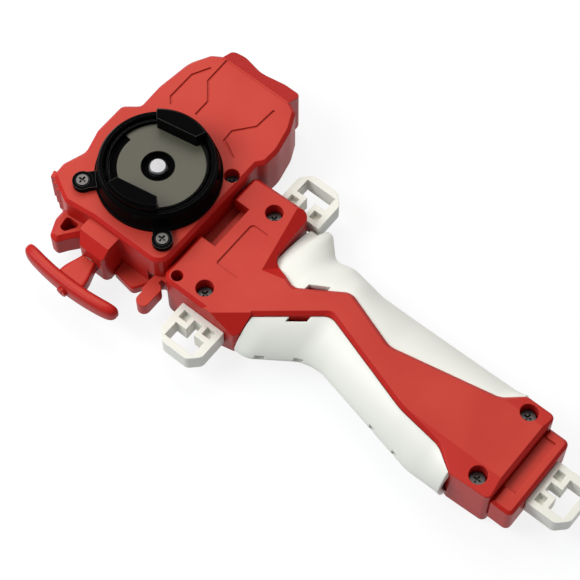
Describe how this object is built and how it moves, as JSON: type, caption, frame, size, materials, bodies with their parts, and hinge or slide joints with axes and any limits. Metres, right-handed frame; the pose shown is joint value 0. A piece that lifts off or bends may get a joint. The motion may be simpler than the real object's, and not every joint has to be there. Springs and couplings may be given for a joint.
{
  "type": "spinning top launcher",
  "caption": "String-pull launcher for spinning tops with a pronged launch head, a T-bar pull handle and a clip-on pistol grip with strap loops.",
  "frame": {"origin": "on the launch head's spin axis, in the plane the launcher lies on", "axes": "+Z along the spin axis out of the launch head, -X the way the handle is pulled, -Y along the grip"},
  "size_m": [0.1022, 0.2007, 0.038],
  "materials": {
    "red_shell": "satin moulded red plastic",
    "ivory_pad": "fine-grained ivory plastic",
    "black_head": "polished black plastic",
    "grey_plate": "olive grey plastic",
    "natural_plastic": "natural acetal",
    "steel": "bright zinc-plated steel",
    "string": "braided string"
  },
  "bodies": {
    "frame": {"launcher_front_case": "red_shell", "launcher_back_case": "red_shell", "launch_collar": "black_head", "collar_screws": "steel", "case_screws": "steel", "spool_axle": "steel", "spool_washer": "steel", "mainspring": "steel", "outlet_bush": "natural_plastic", "lever_pin": "steel", "lever_spring": "steel", "grip_front_shell": "red_shell", "grip_back_shell": "red_shell", "finger_pad_front": "ivory_pad", "finger_pad_back": "ivory_pad", "palm_pad_front": "ivory_pad", "palm_pad_back": "ivory_pad", "grip_screws": "steel", "end_cap": "red_shell", "strap_loop_left": "ivory_pad", "strap_loop_right": "ivory_pad", "strap_loop_end": "ivory_pad"},
    "rotor": {"launch_rotor": "black_head", "rotor_floor_plate": "grey_plate", "pin_spring": "steel", "pin_spring_seat": "natural_plastic", "rotor_clips": "steel", "drive_pinion": "natural_plastic", "clutch_pawl_ring": "natural_plastic"},
    "pin": {"centre_pin": "steel"},
    "spool": {"string_spool": "natural_plastic", "mainspring_cover": "natural_plastic", "string_winding": "string"},
    "handle": {"pull_handle": "red_shell", "handle_plug": "red_shell", "string_run": "string", "string_knot": "string"},
    "lever": {"release_lever": "red_shell"}
  },
  "joints": [
    {"name": "pull_slide", "type": "slide", "parent": "frame", "child": "handle", "axis": [-1, 0, 0], "range_m": [0, 0.38], "stiffness_N_per_m": 6, "springref_m": -0.15, "deforming": ["string_run"]},
    {"name": "spool_spin", "type": "hinge", "parent": "frame", "child": "spool", "pos_m": [0.02693, 0.002, 0], "axis": [0, 0, 1], "continuous": true},
    {"name": "rotor_spin", "type": "hinge", "parent": "frame", "child": "rotor", "pos_m": [0, 0, 0], "axis": [0, 0, 1], "continuous": true},
    {"name": "pin_press", "type": "slide", "parent": "rotor", "child": "pin", "axis": [0, 0, -1], "range_m": [0, 0.0025], "stiffness_N_per_m": 300, "springref_m": -0.002, "deforming": ["pin_spring"]},
    {"name": "lever_press", "type": "hinge", "parent": "frame", "child": "lever", "pos_m": [-0.017, -0.017, 0], "axis": [0, 0, -1], "range_deg": [0, 8], "stiffness_Nm_per_rad": 0.05, "springref_deg": -17.19, "deforming": ["lever_spring"]}
  ],
  "couplings": [
    {"joint": "spool_spin", "follows": "pull_slide", "rad_per_m": -85.47},
    {"joint": "rotor_spin", "follows": "pull_slide", "rad_per_m": 124.32}
  ]
}
